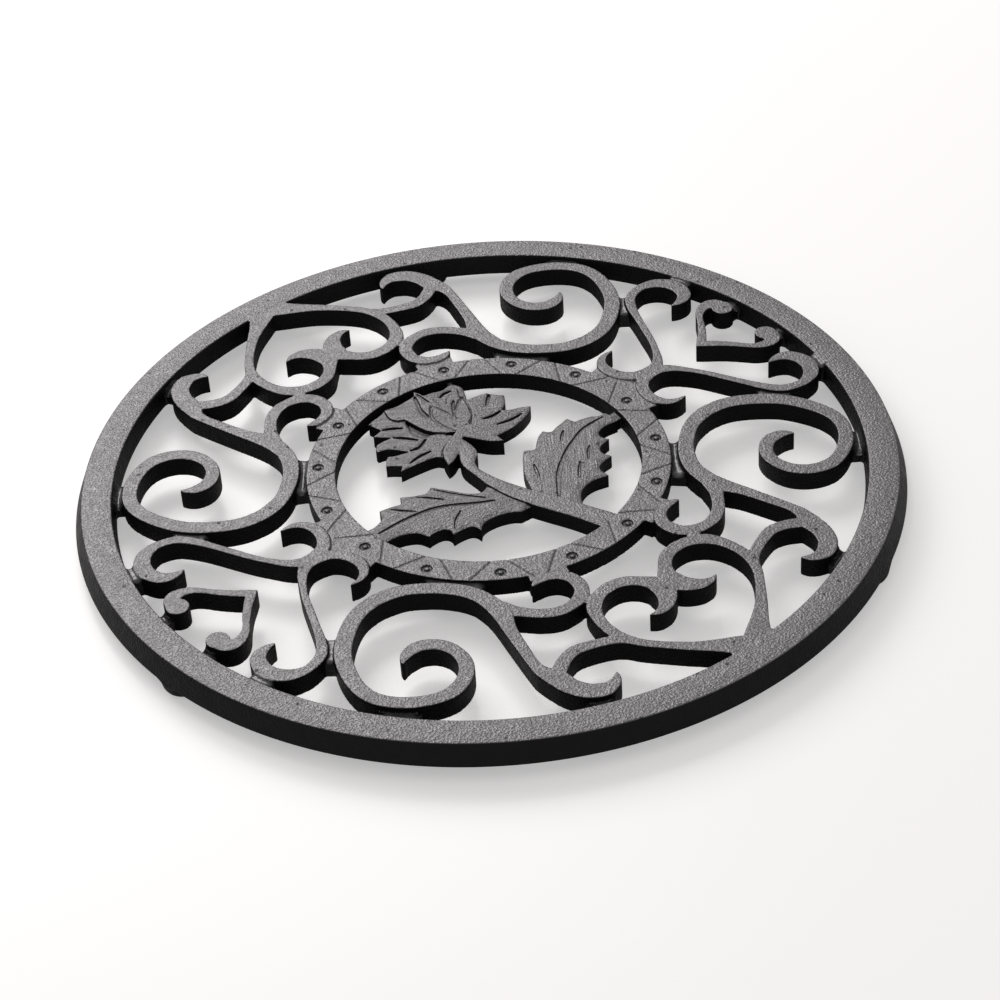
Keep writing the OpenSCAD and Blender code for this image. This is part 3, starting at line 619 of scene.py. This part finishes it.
def soft_skin(around, kept, grain, smoothing, tree, finish):
    """One skin with soft edges and filled corners round some solids, cut to what covers the kept ones."""
    solids = joined_solids(kept)
    skin = joined_solids(around)
    remesh = skin.modifiers.new("one_skin", "REMESH")
    remesh.mode = "VOXEL"
    remesh.voxel_size = grain
    smooth = skin.modifiers.new("soft_edges", "SMOOTH")
    smooth.factor = 0.5
    smooth.iterations = smoothing
    whole = evaluated(skin)
    stored = whole.attributes.new(NORMAL, "FLOAT_VECTOR", "POINT")
    stored.data.foreach_set("vector", own_normals(whole).ravel())
    skin.modifiers.clear()
    skin.data = whole
    add_geometry_nodes(skin, tree, {"Solids": solids, "Apron": APRON, "Dip": DIP, "Finish": finish})
    mesh = evaluated(skin)
    bpy.data.objects.remove(skin)
    bpy.data.objects.remove(solids)
    return mesh


def face_edges(faces):
    """The two ends of each side of each face, in the order in which the face runs."""
    return np.stack([faces, np.roll(faces, -1, axis=1)], axis=-1).reshape(-1, 2)


def part_pinched(faces, places, normals):
    """Gives each fan of faces at a pinched vertex its own vertex, so that every cut end is one plain loop."""
    edges, uses = np.unique(np.sort(face_edges(faces), axis=1), axis=0, return_counts=True)
    cut_edges = np.bincount(edges[uses == 1].ravel(), minlength=len(places))
    copied = []
    for vertex in np.flatnonzero(cut_edges > 2):
        around = np.flatnonzero((faces == vertex).any(axis=1)).tolist()
        fans = []
        while around:
            fan = [around.pop()]
            for face in fan:
                sides = faces[face]
                mates = [other for other in around if len(np.intersect1d(sides, faces[other])) > 1]
                fan.extend(mates)
                around = [other for other in around if other not in mates]
            fans.append(fan)
        for fan in fans[1:]:
            rows = faces[fan]
            rows[rows == vertex] = len(places) + len(copied)
            faces[fan] = rows
            copied.append(vertex)
    return faces, np.vstack([places, places[copied]]), np.vstack([normals, normals[copied]])


def cut_ends(faces):
    """The loops of vertices round a piece's cut ends, each wound so that its cap faces outward."""
    ahead = face_edges(faces).astype(np.int64)
    size = ahead.max() + 1
    has_neighbour = np.isin(ahead[:, 1] * size + ahead[:, 0], ahead[:, 0] * size + ahead[:, 1])
    bare = ahead[~has_neighbour]
    following = dict(zip(bare[:, 1].tolist(), bare[:, 0].tolist()))
    loops = []
    while following:
        first, vertex = following.popitem()
        loop = [first]
        while vertex != first:
            loop.append(vertex)
            vertex = following.pop(vertex)
        loops.append(loop)
    return loops


def shade_as_cast(mesh, normals, caps):
    """Gives the skin of a piece the normals that it had in the whole casting. The caps keep their own."""
    mesh.shade_smooth()
    corner_normals = normals[as_array(mesh.loops, "vertex_index", np.int32)]
    skin_corners = len(corner_normals) - sum(len(cap) for cap in caps)
    corner_normals[skin_corners:] = 0
    mesh.normals_split_custom_set(corner_normals.tolist())


def thinned(mesh, share):
    """The mesh with fewer faces, most of them taken from its plain parts."""
    maker = placed("thinned", mesh)
    maker.modifiers.new("fewer_faces", "DECIMATE").ratio = share
    result = evaluated(maker)
    bpy.data.objects.remove(maker)
    return result


def tree_of(places, numbers, flat=False):
    """A search tree of some of the places, in plan alone if flat."""
    tree = KDTree(len(numbers))
    for number in numbers:
        x, y, z = places[number]
        tree.insert((x, y, 0 if flat else z), int(number))
    tree.balance()
    return tree


def spread_to_walls(mesh, drops, fixed):
    """Lets the walls follow the lowered tops, less and less further down, so that no face folds over."""
    size = len(drops)
    ends = as_array(mesh.edges, "vertices", np.int32, 2)
    first, second = ends.T
    count = np.maximum(np.bincount(ends.ravel(), minlength=size), 1)
    for _ in range(WALL_PASSES):
        total = np.bincount(first, drops[second], size) + np.bincount(second, drops[first], size)
        drops = np.where(fixed, drops, total / count)
    return drops


def crown(mesh, owners, nodes, places, normals):
    """Lets tops fall away towards their walls, draws the petals' foot lines and sags the ties."""
    if "bud" in nodes:
        of_bud = owners == nodes.index("bud")
        places[of_bud, 2] = np.interp(places[of_bud, 2], BUD_LEVELS, BUD_RAISED)
    walls = np.flatnonzero(np.abs(normals[:, 2]) < WALL_RISE)
    heights = places[walls, 2]
    steps = tree_of(places, walls)
    outline = tree_of(places, walls[heights < OUTER_WALL], flat=True)
    above_ties = tree_of(places, walls[heights > TIE_TOP], flat=True)
    drops = np.zeros(len(places))
    tops = normals[:, 2] >= WALL_RISE
    for number in np.flatnonzero(tops):
        node = nodes[owners[number]]
        if node not in CROWN:
            continue
        reach, depth, line, sag = CROWN[node]
        x, y, z = places[number]
        if line:
            edge, _, gap = steps.find((x, y, z))
            if edge.z > z:
                drops[number] = line * max(1 - gap / FOOT_LINE_W, 0)
                continue
        else:
            gap = outline.find((x, y, 0))[2]
        drops[number] = depth * max(1 - gap / reach, 0) ** 2
        if sag:
            out = min(above_ties.find((x, y, 0))[2] / TIE_HALF, 1)
            drops[number] += sag * out * out * (3 - 2 * out)
    drops = spread_to_walls(mesh, drops, tops)
    shaped = places.copy()
    shaped[:, 2] -= drops
    mesh.vertices.foreach_set("co", shaped.ravel())
    mesh.update()
    return shaped, np.where(drops[:, None] > 0, own_normals(mesh), normals)


def add_pieces(skin, nodes):
    """Cuts a skin into one closed piece for each node."""
    corners = as_array(skin.loops, "vertex_index", np.int32).reshape(-1, 4)
    places = as_array(skin.vertices, "co", width=3)
    normals = as_array(skin.attributes[NORMAL].data, "vector", np.float32, 3)
    numbers = np.rint(as_array(skin.attributes[NUMBER].data, "value")).astype(int)
    if any(node in CROWN for node in nodes):
        owners = np.zeros(len(places), dtype=int)
        owners[corners.ravel()] = np.repeat(numbers, 4)
        places, normals = crown(skin, owners, nodes, places, normals)
    for number, node in enumerate(nodes):
        used, faces = np.unique(corners[numbers == number], return_inverse=True)
        faces, spots, shading = part_pinched(faces.reshape(-1, 4), places[used], normals[used])
        caps = cut_ends(faces)
        mesh = bpy.data.meshes.new("cast_" + node)
        mesh.from_pydata(spots.tolist(), [], faces.tolist() + caps)
        if node in THINNED:
            mesh = thinned(mesh, THINNED[node])
            shading = own_normals(mesh)
        shade_as_cast(mesh, shading, caps)
        add_piece(mesh, node)


def add_piece(mesh, node):
    """A finished piece of the casting. It stands for its CAD node."""
    piece = placed("cast_" + node, mesh)
    mesh.materials.clear()
    mesh.materials.append(finishes[NODE_FINISH.get(node, "scroll_iron")])
    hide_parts(node)
    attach(piece, "root")


def add_rim():
    """The rim, which stands for its CAD node."""
    sizes = {
        "Reach": RIM_REACH, "Flat": RIM_FLAT, "Top": RIM_TOP, "Underside": RIM_UNDER,
        "Outer draft": RIM_OUTER_DRAFT, "Inner draft": RIM_INNER_DRAFT, "Rounding": RIM_ROUND,
        "Steps": RIM_STEPS, "Corner steps": ROUND_STEPS, "Finish": finishes["rim_iron"],
    }
    add_piece(plain_mesh("cast_rim", rim_tree(), sizes), "rim")


def add_studs():
    """The studs in the ring marks, which the CAD leaves to this scene."""
    sizes = {
        "Circle radius": MARK_CIRCLE, "Top": BAND_TOP, "Stud radius": STUD_R,
        "Studs": MARK_COUNT, "Finish": finishes["band_iron"],
    }
    stud_piece = placed("band_studs", plain_mesh("band_studs", stud_tree(), sizes))
    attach(stud_piece, "root")


def add_casting():
    """The scrollwork, the band and the flower, each cut from one skin."""
    nodes = sorted(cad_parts)
    band = ["band_ring"]
    flower = ["bud", "left_petals", "right_petals", "sepals"]
    flower += ["stem", "left_leaf", "right_leaf", "flower_ties"]
    scrolls = [node for node in nodes if node not in ["rim"] + band + flower]
    tree = numbering_tree()
    skins = (
        (["rim"] + band + scrolls, scrolls, SCROLL_GRAIN, SCROLL_SMOOTHING, "scroll_iron"),
        (band, band, BAND_GRAIN, FINE_SMOOTHING, "band_iron"),
        (band + flower, flower, FLOWER_GRAIN, FINE_SMOOTHING, "petal_iron"),
    )
    for around, kept, grain, smoothing, finish in skins:
        add_pieces(soft_skin(around, kept, grain, smoothing, tree, finishes[finish]), kept)


# Studio


def toward(azimuth, elevation):
    """Unit vector from the trivet to a place at this azimuth and elevation."""
    a = math.radians(azimuth)
    e = math.radians(elevation)
    return Vector((math.cos(e) * math.cos(a), math.cos(e) * math.sin(a), math.sin(e)))


def make_camera():
    """The photo's camera, from its azimuth, elevation, roll and distance."""
    backward = toward(CAMERA_AZIMUTH, CAMERA_ELEVATION)
    level = Vector((0, 0, 1)).cross(backward).normalized()
    up = backward.cross(level)
    roll = math.radians(CAMERA_ROLL)
    right = level * math.cos(roll) + up * math.sin(roll)
    down = level * math.sin(roll) - up * math.cos(roll)
    data = bpy.data.cameras.new("photo_camera")
    data.sensor_width = SENSOR
    data.lens = CAMERA_LENS
    data.clip_start = CAMERA_CLIP
    camera = bpy.data.objects.new("photo_camera", data)
    centre = Vector((0, 0, RIM_TOP))
    place = centre - right * CENTRE_RIGHT - down * CENTRE_DOWN + backward * CAMERA_DISTANCE
    camera.matrix_world = Matrix.Translation(place) @ Matrix((right, -down, backward)).transposed().to_4x4()
    bpy.context.scene.collection.objects.link(camera)
    bpy.context.scene.camera = camera


def make_lamp():
    """The wide soft lamp behind the trivet, pointed at it."""
    data = bpy.data.lights.new("back_softbox", "AREA")
    data.shape = "RECTANGLE"
    data.size, data.size_y = LAMP_SIZE
    data.energy = LAMP_POWER
    lamp = bpy.data.objects.new("back_softbox", data)
    direction = toward(LAMP_AZIMUTH, LAMP_ELEVATION)
    lamp.location = direction * LAMP_DISTANCE
    lamp.rotation_euler = direction.to_track_quat("Z", "Y").to_euler()
    bpy.context.scene.collection.objects.link(lamp)


def make_world():
    """Even pale surroundings, white where the camera sees them."""
    world = bpy.data.worlds.new("pale_studio")
    bpy.context.scene.world = world
    world.use_nodes = True
    tree = world.node_tree
    tree.nodes.clear()
    path = add_node(tree, "ShaderNodeLightPath", (-800, 0))
    strengths = (FILL_STRENGTH, FILL_SEEN)
    strength = map_range(tree, (-300, 0), path.outputs["Is Camera Ray"], (0.0, 1.0), strengths)
    light = add_node(tree, "ShaderNodeBackground", (0, 0))
    light.inputs["Color"].default_value = FILL_COLOUR
    tree.links.new(strength, light.inputs["Strength"])
    output = add_node(tree, "ShaderNodeOutputWorld", (200, 0))
    tree.links.new(light.outputs[0], output.inputs["Surface"])


def make_floor():
    """A wide pale floor at the height of the feet."""
    half = TABLE_HALF
    mesh = bpy.data.meshes.new("floor")
    corners = [(-half, -half, 0), (half, -half, 0), (half, half, 0), (-half, half, 0)]
    mesh.from_pydata(corners, [], [(0, 1, 2, 3)])
    mesh.materials.append(floor_finish())
    floor = placed("floor", mesh)


groups = {
    "cast_skin": cast_skin_group(),
    "sheen_facing_up": sheen_facing_up_group(),
    "file_strokes": file_strokes_group(),
}
finishes = {name: iron(name, **values) for name, values in IRONS.items()}
add_rim()
add_studs()
add_casting()
make_camera()
make_world()
make_floor()
make_lamp()

bpy.context.scene.view_settings.view_transform = "Standard"
